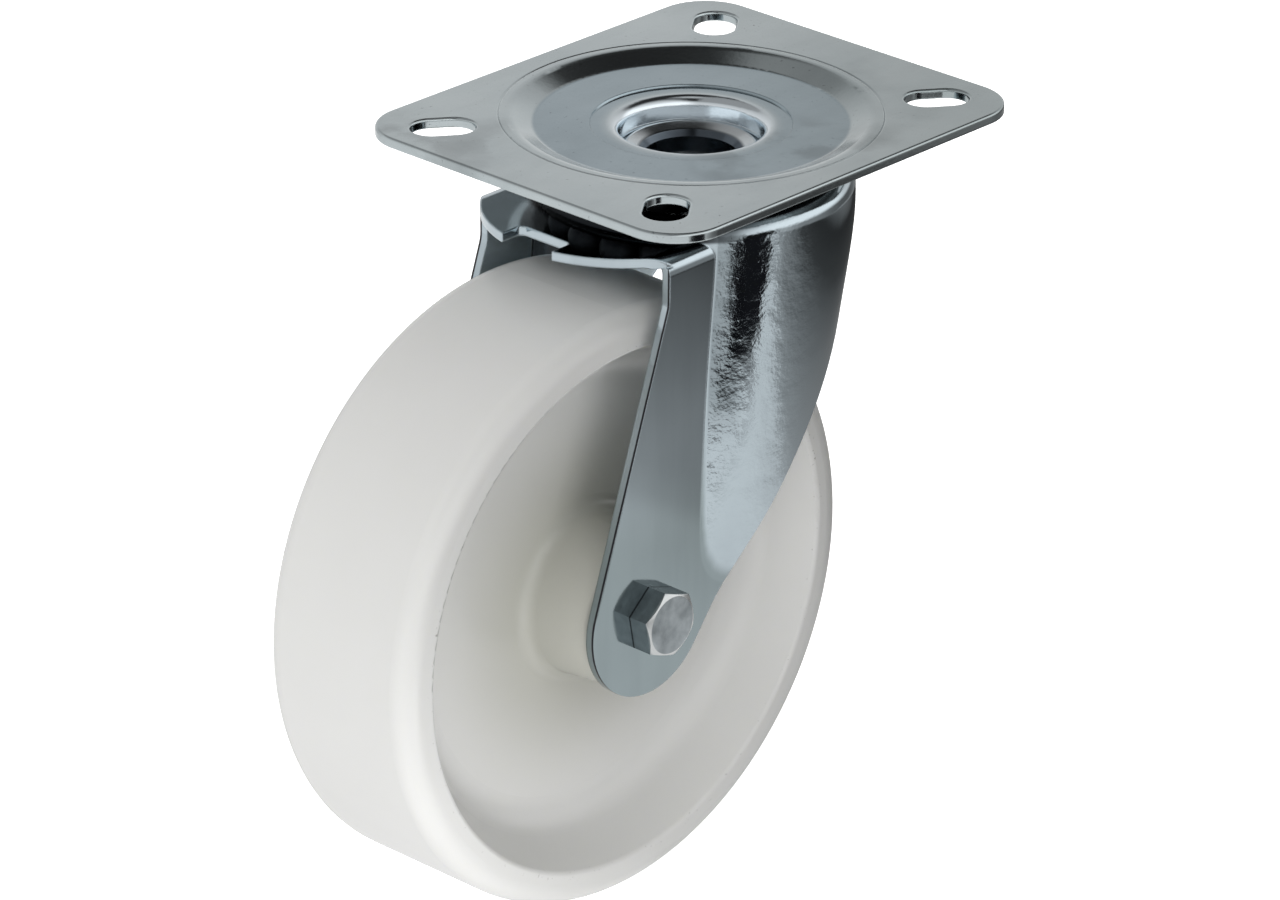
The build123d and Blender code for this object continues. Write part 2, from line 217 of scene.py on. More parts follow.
# %% Rolling marks
MARK_EDGES = (0.42, 0.70)  # noise levels where a streak starts and where it is full

rolled, entry, leave = new_group(
    "rolling marks", {"Across X": 500.0, "Across Y": 500.0, "Across Z": 500.0}, ["Mark"]
)
parts = split(rolled, point(rolled))
drawn_out = add_node(rolled, "CombineXYZ")
for letter in "XYZ":
    stretched = arithmetic(rolled, "MULTIPLY", parts[letter], entry["Across " + letter])
    rolled.links.new(stretched, drawn_out.inputs[letter])
grain = noise(rolled, drawn_out.outputs[0], 1.0, detail=4.0)
rolled.links.new(carry_over(rolled, grain, *MARK_EDGES), leave["Mark"])
print(rolled.name, "has", len(rolled.nodes), "nodes")

# %% [markdown]
# ## Painted bearing shade
# Between the plate and the fork, round the balls, the metal is painted black as the shade that
# falls there. It is a mask round the swivel axis, and round a second centre a little to the
# rear, where the painted shade reaches further. It has a bore, a top and a bottom too, so that
# it stays off the faces that the light reaches.


# %% Painted bearing shade
def distance(tree, first, second):
    """The long side of a right triangle with these two short sides."""
    squares = [arithmetic(tree, "MULTIPLY", side, side) for side in (first, second)]
    return arithmetic(tree, "SQRT", arithmetic(tree, "ADD", *squares))


# Painted shade: a mask that turns the metal black between the plate and the fork.
painted_shade, entry, leave = new_group(
    "bearing grease",
    {"Inner": 0.0, "Radius": 0.0375, "Fade": 0.0025, "Rear": 0.006, "Top": 0.0,
     "Bottom": -0.019},
    ["Mask"],
)
parts = split(painted_shade, point(painted_shade))
around = distance(painted_shade, parts["X"], parts["Y"])
rearward = distance(painted_shade, arithmetic(painted_shade, "ADD", parts["X"], entry["Rear"]), parts["Y"])
clear_at = arithmetic(painted_shade, "ADD", entry["Radius"], entry["Fade"])
inside = arithmetic(
    painted_shade, "MAXIMUM",
    between(painted_shade, around, clear_at, entry["Radius"]),
    between(painted_shade, rearward, clear_at, entry["Radius"]),
)
bore_end = arithmetic(painted_shade, "ADD", entry["Inner"], MM)
top_end = arithmetic(painted_shade, "SUBTRACT", entry["Top"], 0.5 * MM)
bottom_end = arithmetic(painted_shade, "ADD", entry["Bottom"], MM)
ring = arithmetic(painted_shade, "MULTIPLY", inside, between(painted_shade, around, entry["Inner"], bore_end))
band = arithmetic(
    painted_shade, "MULTIPLY",
    between(painted_shade, parts["Z"], entry["Top"], top_end),
    between(painted_shade, parts["Z"], entry["Bottom"], bottom_end),
)
painted_shade.links.new(arithmetic(painted_shade, "MULTIPLY", ring, band), leave["Mask"])
print(painted_shade.name, "has", len(painted_shade.nodes), "nodes")

# %% [markdown]
# ## Zinc-plated steel
# Plate, fork, washers, bolt and nut are all plated steel, and differ only in colour, shine
# and the sharpness of their edges. One helper makes the plated metal, and each piece then
# adds its own marks. Pressed sheet has rounded edges. The Bevel node rounds them in the
# shading, which leaves the solids as they are.

# %% Finish helpers
# Near-black colour of the painted shade under the plate; the balls wear it too.
UNDER_PLATE_SHADE = (0.014, 0.016, 0.018)
DULLING = 1.8  # how much rougher the duller clouds are


def grey(level):
    """A grey colour of this level."""
    return (level, level, level)


def new_finish(name, **fixed):
    """A material with its Principled shader; fixed values go on the shader's own sockets."""
    material = bpy.data.materials.new(name)
    material.use_nodes = True
    tree = material.node_tree
    shader = tree.nodes["Principled BSDF"]
    for socket, value in fixed.items():
        shader.inputs[socket.replace("_", " ")].default_value = value
    return material, tree, shader


def tint(tree, factor, first, second, blend="MIX"):
    """Mixes two colours, each a plain one or an output."""
    values = [(0, factor)]
    for socket, colour in ((6, first), (7, second)):
        if isinstance(colour, tuple):
            colour = (*colour, 1)
        values.append((socket, colour))
    return add_node(tree, "Mix", values, data_type="RGBA", blend_type=blend).outputs[2]


def darken(tree, mask, colour, shade):
    """Multiplies a colour by a shade where the mask is full."""
    return tint(tree, mask, colour, shade, blend="MULTIPLY")


def wear(piece, material):
    """Gives a piece this material in all of its slots."""
    if not piece.material_slots:
        piece.data.materials.append(material)
    for slot in piece.material_slots:
        slot.material = material


def zinc(name, pale, dark, roughness, edge, cloud, cloud_scale=30.0):
    """Zinc-plated steel with clouded plating and edges rounded by this many millimetres.

    Gives the material, its tree and shader, and the colour and bump to build on.
    """
    material, tree, shader = new_finish(name, Metallic=1.0)
    plating = use_group(tree, clouds, Scale=cloud_scale, Amount=cloud)
    colour = tint(tree, plating["Cloud"], pale, dark)
    shine = carry_over(tree, plating["Cloud"], 0.0, 1.0, roughness, roughness * DULLING)
    tree.links.new(shine, shader.inputs["Roughness"])
    rounded = add_node(tree, "Bevel", [("Radius", edge * MM)], samples=6)
    bump = add_node(
        tree, "Bump", [("Strength", 1.0), ("Distance", MM), ("Normal", rounded.outputs["Normal"])]
    )
    tree.links.new(bump.outputs["Normal"], shader.inputs["Normal"])
    return material, tree, shader, colour, bump


print("finish helpers ready")

# %% [markdown]
# ## The plate's plating
# The top plate is the largest face, so its plating shows best: broad stains, specks, faint
# rolling marks and painted shade that darkens one side. A scanned surface could give all that,
# but it would be fixed to one plate. Here each mark is a mask of its own that darkens the zinc.

# %% Zinc of the plate
PLATE_PALE, PLATE_DULL = (0.56, 0.615, 0.63), (0.45, 0.51, 0.53)
SHADED_SIDE = (-0.02, 0.10)  # x less y, in metres, where the painted shade on one side begins and is full
SHADED_SIDE_TONE = (0.76, 0.77, 0.76)
STAIN_EDGES = (0.62, 0.95)  # levels of the broad clouds where a stain starts and is full
STAIN_BREAKS = (0.30, 0.60)  # levels of finer clouds that break the stains up

plate_zinc, tree, shader, colour, bump = zinc(
    "zinc_plate", PLATE_PALE, PLATE_DULL, roughness=0.11, edge=0.5, cloud=0.7
)
skin = use_group(tree, peel, Grain=700.0, Amount=0.012)
tree.links.new(skin["Height"], bump.inputs["Height"])
parts = split(tree, point(tree))
across = arithmetic(tree, "SUBTRACT", parts["X"], parts["Y"])
# Painted shade: one side of the plate is darkened.
colour = darken(tree, between(tree, across, *SHADED_SIDE), colour, SHADED_SIDE_TONE)
stains = use_group(tree, clouds, Scale=14.0, Amount=1.0)
breaks = use_group(tree, clouds, Scale=55.0, Amount=1.0)
patches = arithmetic(
    tree, "MULTIPLY",
    between(tree, stains["Cloud"], *STAIN_EDGES), between(tree, breaks["Cloud"], *STAIN_BREAKS),
)
colour = darken(tree, patches, colour, grey(0.73))
colour = darken(tree, stains["Speck"], colour, (0.55, 0.55, 0.56))
marks = use_group(tree, rolled, Across_X=35.0, Across_Y=130.0, Across_Z=35.0)
colour = darken(tree, marks["Mark"], colour, grey(0.955))
print("plating of", plate_zinc.name, "ready")

# %% [markdown]
# ## The pressed dish
# The pressed dish's floor is bluer than the flat around it, and the funnel that grips the pin
# is painted paler as a highlight. Underneath, the dish is painted black as the shade between the
# plate and the fork. These faces could have a material of their own, but it would end in a
# hard line. Masks by radius fade, and keep the plate one piece with one finish.

# %% Dish, funnel highlight and painted shade of the plate
DISH_RIM = (0.0405, 0.0395)  # radius where the dish's floor starts, and where it is all blue
FUNNEL_RIM = (0.019, 0.024)  # radius where the floor gives way to the funnel
DISH_SHADE = (0.66, 0.72, 0.765)
FUNNEL_WALL = (0.022, 0.019)  # radius where the funnel's wall starts, and where it is full
FUNNEL_HIGHLIGHT = (0.72, 0.78, 0.82)

radius = distance(tree, parts["X"], parts["Y"])
pressed = arithmetic(
    tree, "MULTIPLY", between(tree, radius, *DISH_RIM), between(tree, radius, *FUNNEL_RIM)
)
colour = darken(tree, pressed, colour, DISH_SHADE)
# Painted highlight: the funnel's wall is made paler.
colour = tint(tree, between(tree, radius, *FUNNEL_WALL), colour, FUNNEL_HIGHLIGHT)
# Painted shade: the dish's underside turns black round the balls.
overlay = use_group(
    tree, painted_shade, Inner=0.021, Radius=0.046, Fade=0.004, Rear=0.0, Top=-0.0034, Bottom=-0.02
)
tree.links.new(tint(tree, overlay["Mask"], colour, UNDER_PLATE_SHADE), shader.inputs["Base Color"])
PLATED_LIKE_IT = ("top_plate", "lower_race", "near_washer", "far_washer")
for name in PLATED_LIKE_IT:
    wear(nodes[name], plate_zinc)
print(plate_zinc.name, "on", ", ".join(PLATED_LIKE_IT))

# %% [markdown]
# ## The fork's skin
# The fork is pressed from one sheet. Its legs stay flat and smooth. The drum between them is
# drawn deep, so its skin is pebbled and gently wavy, and its reflections break up. Modelled
# waves would have to match the solid everywhere. Two layers of orange peel, a fine and a
# broad one, do the same in the shading, and a mask keeps them on the drum.

# %% Skin of the fork
FORK_PALE, FORK_DULL = (0.515, 0.592, 0.632), (0.42, 0.485, 0.53)
DRUM_SIDE = (0.0326, 0.0330)  # |y| where the flat leg ends and the stretched drum begins
PEBBLED = (0.008, -0.012)  # x where the most stretched skin begins, and where it is full

fork_zinc, tree, shader, colour, bump = zinc(
    "zinc_fork", FORK_PALE, FORK_DULL, roughness=0.07, edge=0.8, cloud=0.5
)
parts = split(tree, point(tree))
side = arithmetic(tree, "ABSOLUTE", parts["Y"])
drum = between(tree, side, *DRUM_SIDE)
stretched = arithmetic(tree, "MULTIPLY", drum, between(tree, parts["X"], *PEBBLED))
heights = []
for grain, amount in ((1300.0, 0.035), (95.0, 0.36)):
    skin = use_group(tree, peel, Grain=grain, Amount=amount)
    heights.append(arithmetic(tree, "MULTIPLY", skin["Height"], stretched))
tree.links.new(arithmetic(tree, "ADD", *heights), bump.inputs["Height"])
print("skin of", fork_zinc.name, "has", len(heights), "layers")

# %% [markdown]
# ## The fork's marks
# The flat legs show rolling marks, and towards the bolt they are painted darker as shade.
# Beside each leg, where the drum starts to rise, the crease is painted darker as shade too.
# Along the outer corner of the leg's cut edge runs a fine dark line, a painted reflection.
# Painting these by hand would need an image. All of them follow the form, so each is a mask
# made from a point's place. The line also asks which way the face looks, so that it stays off
# the leg's broad side.

# %% Marks of the fork
LEG_LOW = (-0.060, -0.098)  # z where the painted shade on the legs starts, and where it is darkest
HOLLOW = (-0.019, -0.023)  # x where the painted shade beside the leg begins, and is full
HOLLOW_LOW = (-0.075, -0.055)  # z below which it is bright again, and above which the painted shade is full
CORNER = (0.03175, 0.03195)  # |y| on the leg's cut edge where the painted dark reflection line starts
CUT_FACE = (0.75, 0.45)  # how far a face looks to the side: on the broad side, on the cut edge

flat = arithmetic(tree, "SUBTRACT", 1.0, drum)
# Painted shade: the flat legs are darkened towards the bolt.
low = between(tree, parts["Z"], *LEG_LOW)
colour = darken(tree, arithmetic(tree, "MULTIPLY", flat, low), colour, (0.60, 0.62, 0.60))
marks = use_group(tree, rolled, Across_X=130.0, Across_Y=130.0, Across_Z=14.0)
colour = darken(tree, arithmetic(tree, "MULTIPLY", flat, marks["Mark"]), colour, grey(0.93))
# Painted shade: the crease beside each leg is darkened.
hollow = arithmetic(
    tree, "MULTIPLY",
    arithmetic(tree, "MULTIPLY", drum, between(tree, parts["X"], *HOLLOW)),
    between(tree, parts["Z"], *HOLLOW_LOW),
)
colour = darken(tree, hollow, colour, (0.62, 0.63, 0.63))
looks = split(tree, add_node(tree, "TexCoord").outputs["Normal"])
cut = between(tree, arithmetic(tree, "ABSOLUTE", looks["Y"]), *CUT_FACE)
# Painted reflection: a fine dark line along the outer corner of the leg's cut edge.
line = arithmetic(
    tree, "MULTIPLY", between(tree, side, *CORNER),
    arithmetic(tree, "MULTIPLY", cut, between(tree, side, *DRUM_SIDE[::-1])),
)
colour = tint(tree, line, colour, (0.04, 0.04, 0.045))
# Painted shade: the crown and the tongue under the plate turn black.
overlay = use_group(tree, painted_shade)
tree.links.new(tint(tree, overlay["Mask"], colour, UNDER_PLATE_SHADE), shader.inputs["Base Color"])
wear(nodes["fork"], fork_zinc)
print(fork_zinc.name, "on the fork, with", len(tree.nodes), "nodes")

# %% [markdown]
# ## The bolt and the nut
# Small fasteners are plated loose in a turning barrel, so their zinc is duller, blotchy and a
# little rough. The head's chamfer is painted paler as a highlight, and dirt gathers where the
# head sits on the leg. Both could be extra rings of faces, but they are only colour. So they
# are masks: one by the distance from the axle, one by the depth behind the head's face.

# %% Zinc of the bolt and the nut
BOLT_PALE, BOLT_DULL = (0.42, 0.46, 0.48), (0.15, 0.17, 0.18)
CHAMFER = (7.45 * MM, 7.7 * MM)  # distances from the axle between which the chamfer begins
CHAMFER_DEPTH = (1.1 * MM, 0.5 * MM)  # depths behind the face where it fades and is full
HEAD_HEIGHT = 6.5 * MM  # depth of the head's underside, where it sits on the leg
JOINT_WIDTH = 0.45 * MM


def from_axle(tree, parts):
    """Distance from the axle, as seen from the side."""
    along = arithmetic(tree, "SUBTRACT", parts["X"], axle.x)
    up = arithmetic(tree, "SUBTRACT", parts["Z"], axle.z)
    return distance(tree, along, up)


bolt_zinc, tree, shader, colour, bump = zinc(
    "zinc_bolt", BOLT_PALE, BOLT_DULL, roughness=0.24, edge=0.25, cloud=0.8, cloud_scale=160.0
)
skin = use_group(tree, peel, Grain=500.0, Amount=0.06)
tree.links.new(skin["Height"], bump.inputs["Height"])
parts = split(tree, point(tree))
depth = arithmetic(tree, "SUBTRACT", parts["Y"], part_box("axle_bolt")[0].y)
# Painted highlight: the head's chamfer is made paler.
chamfer = arithmetic(
    tree, "MULTIPLY",
    between(tree, from_axle(tree, parts), *CHAMFER), between(tree, depth, *CHAMFER_DEPTH),
)
colour = tint(tree, chamfer, colour, (0.60, 0.62, 0.62))
joint = arithmetic(
    tree, "MULTIPLY",
    between(tree, depth, HEAD_HEIGHT - JOINT_WIDTH, HEAD_HEIGHT),
    between(tree, depth, HEAD_HEIGHT + MM, HEAD_HEIGHT + 0.5 * MM),
)
colour = tint(tree, joint, colour, (0.02, 0.02, 0.022))
tree.links.new(colour, shader.inputs["Base Color"])
for name in ("axle_bolt", "lock_nut"):
    wear(nodes[name], bolt_zinc)
print(bolt_zinc.name, "on the bolt and the nut")

# %% [markdown]
# ## Bare steel, and steel painted with shade
# The axle tube and the rollers are hardened, ground and left bright. The hollow pin is painted
# dark as the shade down its bore, apart from the lip that riveting has rubbed bright. The
# balls are painted near black as the shade under the plate. Each could be written out in
# full, but these metals differ only in their two colours and in how even their shine is, so
# one helper makes them all.


# %% Bearing steels
def bearing_metal(name, scale, amount, pale, dark, gloss):
    """A metal between two colours, with a roughness between two values."""
    material, tree, shader = new_finish(name, Metallic=1.0)
    overlay = use_group(tree, clouds, Scale=scale, Amount=amount)
    shade = tint(tree, overlay["Cloud"], pale, dark)
    tree.links.new(carry_over(tree, overlay["Cloud"], 0.0, 1.0, *gloss), shader.inputs["Roughness"])
    tree.links.new(shade, shader.inputs["Base Color"])
    return material, tree, shader, shade


PIN_LIP = (0.0128, 0.0140)  # radius where the bore's painted shade gives way to the bright riveted lip

steel = bearing_metal(
    "bearing_steel", 60.0, 0.4, (0.60, 0.62, 0.64), (0.42, 0.44, 0.47), (0.12, 0.3)
)[0]
# The balls are painted near black as the shade under the plate.
shaded_balls = bearing_metal("balls_in_painted_shade", 160.0, 1.0, UNDER_PLATE_SHADE, (0.03, 0.03, 0.033), (0.40, 0.60))[0]
# The pin is painted dark as the shade down its bore; its lip is left bright.
shaded_pin, tree, shader, shade = bearing_metal(
    "pin_in_painted_shade", 120.0, 0.8, (0.12, 0.145, 0.17), (0.06, 0.07, 0.085), (0.14, 0.3)
)
parts = split(tree, point(tree))
lip = between(tree, distance(tree, parts["X"], parts["Y"]), *PIN_LIP)  # lies over the plain shade
tree.links.new(tint(tree, lip, shade, (0.72, 0.76, 0.78)), shader.inputs["Base Color"])
for material, worn_by in (
    (steel, ("axle_tube", "rollers")),
    (shaded_balls, ("upper_balls", "lower_balls")),
    (shaded_pin, ("swivel_pin",)),
):
    for name in worn_by:
        wear(nodes[name], material)
    print(material.name, "on", ", ".join(worn_by))

# %% [markdown]
# ## The wheel's nylon
# The wheel is cast nylon: milky, a little see-through at its skin, with a satin shine. A
# plain white would look like chalk, so some of the light goes in and comes out again close
# by, which is subsurface scattering. Towards the hub the nylon is painted darker and warmer as
# the shade round the hub and the leg, and the rim has a few dark nicks. Both follow the
# distance from the axle.

# %% Nylon of the wheel
HUB_SHADE = (0.062, 0.020)  # distances from the axle where the painted hub shade ends, and where it is full
RIM_IN = (0.0695, 0.0705)  # distances between which the nicks of the rim begin
RIM_OUT = (0.0730, 0.0715)  # and between which they end

nylon, tree, shader = new_finish(
    "nylon_wheel",
    Roughness=0.24,
    Subsurface_Weight=0.25,
    Subsurface_Radius=(0.004, 0.004, 0.0035),
    Subsurface_Scale=1.0,
)
milk = use_group(tree, clouds, Scale=18.0, Amount=0.6)
colour = tint(tree, milk["Cloud"], (0.80, 0.80, 0.785), (0.76, 0.76, 0.74))
outward = from_axle(tree, split(tree, point(tree)))
# Painted shade: the nylon is darkened and warmed towards the hub.
colour = darken(tree, between(tree, outward, *HUB_SHADE), colour, (0.66, 0.66, 0.61))
on_rim = arithmetic(
    tree, "MULTIPLY", between(tree, outward, *RIM_IN), between(tree, outward, *RIM_OUT)
)
nicks = arithmetic(tree, "MULTIPLY", milk["Speck"], on_rim)
colour = darken(tree, nicks, colour, (0.45, 0.44, 0.42))
tree.links.new(colour, shader.inputs["Base Color"])
wear(nodes["wheel"], nylon)
print(nylon.name, "on the wheel")

# %% [markdown]
# ## The small nylon pieces
# The cage that spaces the rollers is moulded in black nylon, and the nut's locking ring in a
# bluish white. They could share the wheel's nylon in other colours, but neither is seen much.
# So a grainy colour between two close tones is enough, and a loop makes both.

# %% Nylon of the cage and the ring
for name, piece, roughness, pale, dark in (
    ("nylon_cage", "roller_cage", 0.5, (0.03, 0.03, 0.035), (0.05, 0.05, 0.055)),
    ("nylon_ring", "nut_insert", 0.45, (0.72, 0.74, 0.76), (0.62, 0.64, 0.68)),
):
    moulded, tree, shader = new_finish(name, Roughness=roughness)
    grain = use_group(tree, clouds, Scale=200.0, Amount=0.8)
    colour = tint(tree, grain["Cloud"], pale, dark)
    tree.links.new(colour, shader.inputs["Base Color"])
    wear(nodes[piece], moulded)
    print(name, "on", piece)

# %% [markdown]
# ## The bolt's thread
# The shank was drawn as a smooth rod, because a cut thread is far too fine for the solids.
# Where it comes out of the nut its thread shows. A Screw modifier could wind it, but the
# ridge has to sink into the rod at both ends. So its four corners, a blunt V, are carried
# along a helix point by point, and the V grows and shrinks on the way.

# %% Thread sizes
THREAD_PITCH = 1.5 * MM
THREAD_ROOT = 4.9 * MM  # just under the rod's skin
THREAD_CREST = 5.22 * MM
THREAD_CHAMFER = 1.0 * MM  # the rod's end slopes here, and the ridge dies out before it
TURN_STEPS = 48
FADING = 6  # the ridge grows over the first sixth of its way, and shrinks over the last
PROFILE = ((-0.42, 0.0), (-0.07, 1.0), (0.07, 1.0), (0.42, 0.0))  # pitches along, share of rise

thread_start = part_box("lock_nut")[1].y - THREAD_PITCH
thread_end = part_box("axle_bolt")[1].y - THREAD_CHAMFER
turns = (thread_end - thread_start) / THREAD_PITCH
steps = int(turns * TURN_STEPS)
print(f"thread from y {thread_start:.4f} to {thread_end:.4f} m, {turns:.1f} turns")


# %% Thread ridge
def thread_ring(way):
    """The ridge's corners at this share of its way."""
    angle = 2 * math.pi * turns * way
    along = thread_start + (thread_end - thread_start) * way
    height = min(1.0, way * FADING, (1 - way) * FADING) * (THREAD_CREST - THREAD_ROOT)
    for offset, share in PROFILE:
        radius = THREAD_ROOT + height * share
        yield (
            axle.x + radius * math.cos(angle),
            along + offset * THREAD_PITCH,
            axle.z + radius * math.sin(angle),
        )


ridge = bmesh.new()
rings = [
    [ridge.verts.new(corner) for corner in thread_ring(step / steps)]
    for step in range(steps + 1)
]
for first, second in zip(rings, rings[1:]):
    for corner in range(len(PROFILE)):
        after = (corner + 1) % len(PROFILE)
        ridge.faces.new((first[corner], first[after], second[after], second[corner]))
ridge.faces.new(rings[0])
ridge.faces.new(rings[-1][::-1])
bmesh.ops.recalc_face_normals(ridge, faces=ridge.faces)
mesh = bpy.data.meshes.new("bolt_thread")
ridge.to_mesh(mesh)
ridge.free()
thread = bpy.data.objects.new("bolt_thread", mesh)
bpy.context.scene.collection.objects.link(thread)
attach(thread, "fork")
wear(thread, bolt_zinc)
print("thread ridge of", len(mesh.polygons), "faces")

# %% [markdown]
# ## The floor
# The castor stands on a pale sheet of paper. A lit floor is never quite white, and more light
# would bleach the castor. So the paper glows a little for the camera alone, which makes it
# white and still keeps the castor's shadow.

# %% Floor
FLOOR_SIZE = 12.0
FLOOR_COLOUR = grey(0.86)
FLOOR_GLOW = 0.78

bpy.ops.mesh.primitive_plane_add(size=FLOOR_SIZE, location=(0, 0, floor_z))
floor = bpy.context.object
floor.name = "floor"
paper, tree, shader = new_finish("floor_paper", Roughness=0.9, Specular_IOR_Level=0.0)
shader.inputs["Base Color"].default_value = (*FLOOR_COLOUR, 1)
rays = add_node(tree, "LightPath").outputs
glow = add_node(tree, "Emission", [("Color", (1, 1, 1, 1)), ("Strength", FLOOR_GLOW)])
lit_paper = add_node(tree, "AddShader")
tree.links.new(shader.outputs[0], lit_paper.inputs[0])
tree.links.new(glow.outputs[0], lit_paper.inputs[1])
floor.data.materials.append(paper)
print("floor of", FLOOR_SIZE, "m at z", round(floor_z, 4))

# %% [markdown]
# ## What the zinc sees below it
# Metal shows what stands around it, and zinc looks like zinc only when it has both pale and
# dark things to show. A wide white floor would turn the fork plain white. In a real studio
# the table is small and one side of it lies in shade. So reflections see a table whose tone
# falls past a line. Light that the table throws back fades past that line as well, which
# darkens the wheel's lower half on the shaded side.


# %% Table tones
def colour_steps(tree, factor, steps):
    """A colour ramp through (position, grey level) steps."""
    ramp = add_node(tree, "ValToRGB", [("Fac", factor)])
    elements = ramp.color_ramp.elements
    while len(elements) < len(steps):
        elements.new(0.5)
    for element, (place, level) in zip(elements, steps):
        element.position = place
        element.color = (*grey(level), 1)
    return ramp.outputs["Color"]


LIGHT_EDGE = (0.128, -0.130)  # a point on the line where the table starts to fall into shade
LIGHT_AWAY = (0.991, -0.131)  # direction in which the shade deepens
TABLE_SPAN = (-0.1, 0.4)  # metres past that line that the ramp covers
TABLE_TONES = (  # metres past that line, and how pale the table is there
    (-0.10, 0.95), (-0.04, 0.90), (-0.012, 0.78), (0.00, 0.72), (0.012, 0.50), (0.030, 0.38),
    (0.060, 0.30), (0.10, 0.22), (0.14, 0.14), (0.18, 0.06), (0.26, 0.03), (0.40, 0.50),
)
BOUNCE_FALL = (-0.25, -0.06)  # metres past the line where the light off the table fades
BOUNCE = (1.05, 0.05)  # its strength before and after that

place = point(tree)
from_edge = add_node(
    tree, "VectorMath", [(0, place), (1, (*LIGHT_EDGE, 0))], operation="SUBTRACT"
).outputs["Vector"]
past = add_node(
    tree, "VectorMath", [(0, from_edge), (1, (*LIGHT_AWAY, 0))], operation="DOT_PRODUCT"
).outputs["Value"]
span = TABLE_SPAN[1] - TABLE_SPAN[0]
table = colour_steps(
    tree, carry_over(tree, past, *TABLE_SPAN),
    [((metres - TABLE_SPAN[0]) / span, tone) for metres, tone in TABLE_TONES],
)
bounce = carry_over(tree, past, *BOUNCE_FALL, *BOUNCE)
soft_ray = rays["Is Diffuse Ray"]
strength = arithmetic(
    tree, "ADD", arithmetic(tree, "SUBTRACT", 1.0, soft_ray),
    arithmetic(tree, "MULTIPLY", bounce, soft_ray),
)
shown = add_node(tree, "Emission", [("Color", table), ("Strength", strength)])
print("table tones:", len(TABLE_TONES))

# %% [markdown]
# ## One floor for each kind of ray
# Three floors could be laid on top of each other, each seen by one kind of ray. Mixing three
# shaders in one material is simpler, with Light Path telling which ray is asking: the camera
# gets the glowing paper, reflections and soft light get the table up to its edge and nothing
# beyond it, and every other ray gets plain paper.

# %% Floor rays
TABLE_EDGE = (0.50, 0.56)  # distances from the castor between which the table ends


def choose(tree, mask, without, within):
    """Mixes two shaders by a mask; gives the mixed shader."""
    mixed = add_node(tree, "MixShader", [("Fac", mask)])
    tree.links.new(without.outputs[0], mixed.inputs[1])
    tree.links.new(within.outputs[0], mixed.inputs[2])
    return mixed


from_castor = add_node(tree, "VectorMath", [(0, place)], operation="LENGTH").outputs["Value"]
nothing = add_node(tree, "BsdfTransparent")
mirrored = choose(tree, carry_over(tree, from_castor, *TABLE_EDGE), shown, nothing)
to_camera = choose(tree, rays["Is Camera Ray"], shader, lit_paper)
bounced = arithmetic(tree, "MAXIMUM", rays["Is Glossy Ray"], soft_ray)
to_all = choose(tree, bounced, to_camera, mirrored)
tree.links.new(to_all.outputs[0], tree.nodes["Material Output"].inputs["Surface"])
print(paper.name, "has", len(tree.nodes), "nodes")

# %% [markdown]
# ## The black card
# The deepest streak in the drum comes from a black card that lies on the table, as it does
# in a studio for polished metal. A lamp can't make a dark streak, and a dark paint on the
# drum would stay put when the castor turns. So the card is a thin outline on the floor which
# only reflections see. Its near end fades out, so that the streak's end is soft.

# %% Black card
CARD_OUTLINE = (
    (0.074, -0.195), (0.064, -0.250), (0.054, -0.300), (0.046, -0.345), (0.040, -0.385),
    (0.050, -0.415), (0.064, -0.450), (0.080, -0.560), (-0.250, -0.560), (-0.205, -0.500),
    (-0.160, -0.460), (-0.122, -0.420), (-0.098, -0.385), (-0.068, -0.345), (-0.006, -0.300),
    (0.034, -0.262), (0.050, -0.195),
)
CARD_FADE = (-0.19, -0.380)  # y where the card's near end is clear, and where it is black
CARD_LIFT = MM  # it lies this far above the floor
UNSEEN_BY = ("camera", "diffuse", "shadow", "transmission")

mesh = bpy.data.meshes.new("streak_card")
mesh.from_pydata(
    [(x, y, floor_z + CARD_LIFT) for x, y in CARD_OUTLINE], [], [range(len(CARD_OUTLINE))]
)
card = bpy.data.objects.new("streak_card", mesh)
bpy.context.scene.collection.objects.link(card)
for ray in UNSEEN_BY:
    setattr(card, "visible_" + ray, False)
board = bpy.data.materials.new("streak_card")
board.use_nodes = True
tree = board.node_tree
tree.nodes.remove(tree.nodes["Principled BSDF"])
solid = carry_over(tree, split(tree, point(tree))["Y"], *CARD_FADE)
black = add_node(tree, "Emission", [("Color", (0.01, 0.01, 0.012, 1)), ("Strength", 1.0)])
faded = choose(tree, solid, add_node(tree, "BsdfTransparent"), black)
tree.links.new(faded.outputs[0], tree.nodes["Material Output"].inputs["Surface"])
mesh.materials.append(board)
print(card.name, "with", len(CARD_OUTLINE), "corners")

# %% [markdown]
# ## Round the castor
# Past the table's edge stand the walls of the studio. They could be modelled, but only their
# tones matter, so they are painted on the world by the compass angle: pale behind the
# camera, a narrow black gap beside the bolt's head, and dark on the shaded side.

# %% Surroundings at the sides
SIDE_TONES = (  # degrees round the castor, and how pale the surroundings are past the table
    (-180, 0.86), (-128, 0.80), (-106, 0.80), (-103, 0.012), (-79, 0.012), (-75, 0.62),
    (-68, 0.50), (-55, 0.32), (-40, 0.28), (-20, 0.15), (0, 0.12), (30, 0.30), (60, 0.60),
    (120, 0.84), (180, 0.86),
)

world = bpy.data.worlds.new("studio")
world.use_nodes = True
bpy.context.scene.world = world
tree = world.node_tree
rays = add_node(tree, "LightPath").outputs
direction = add_node(tree, "TexCoord").outputs["Generated"]
parts = split(tree, direction)
compass = arithmetic(tree, "ARCTAN2", parts["Y"], parts["X"])
sides = colour_steps(
    tree, carry_over(tree, compass, -math.pi, math.pi),
    [((degrees + 180) / 360, tone) for degrees, tone in SIDE_TONES],
)
print("side tones:", len(SIDE_TONES))

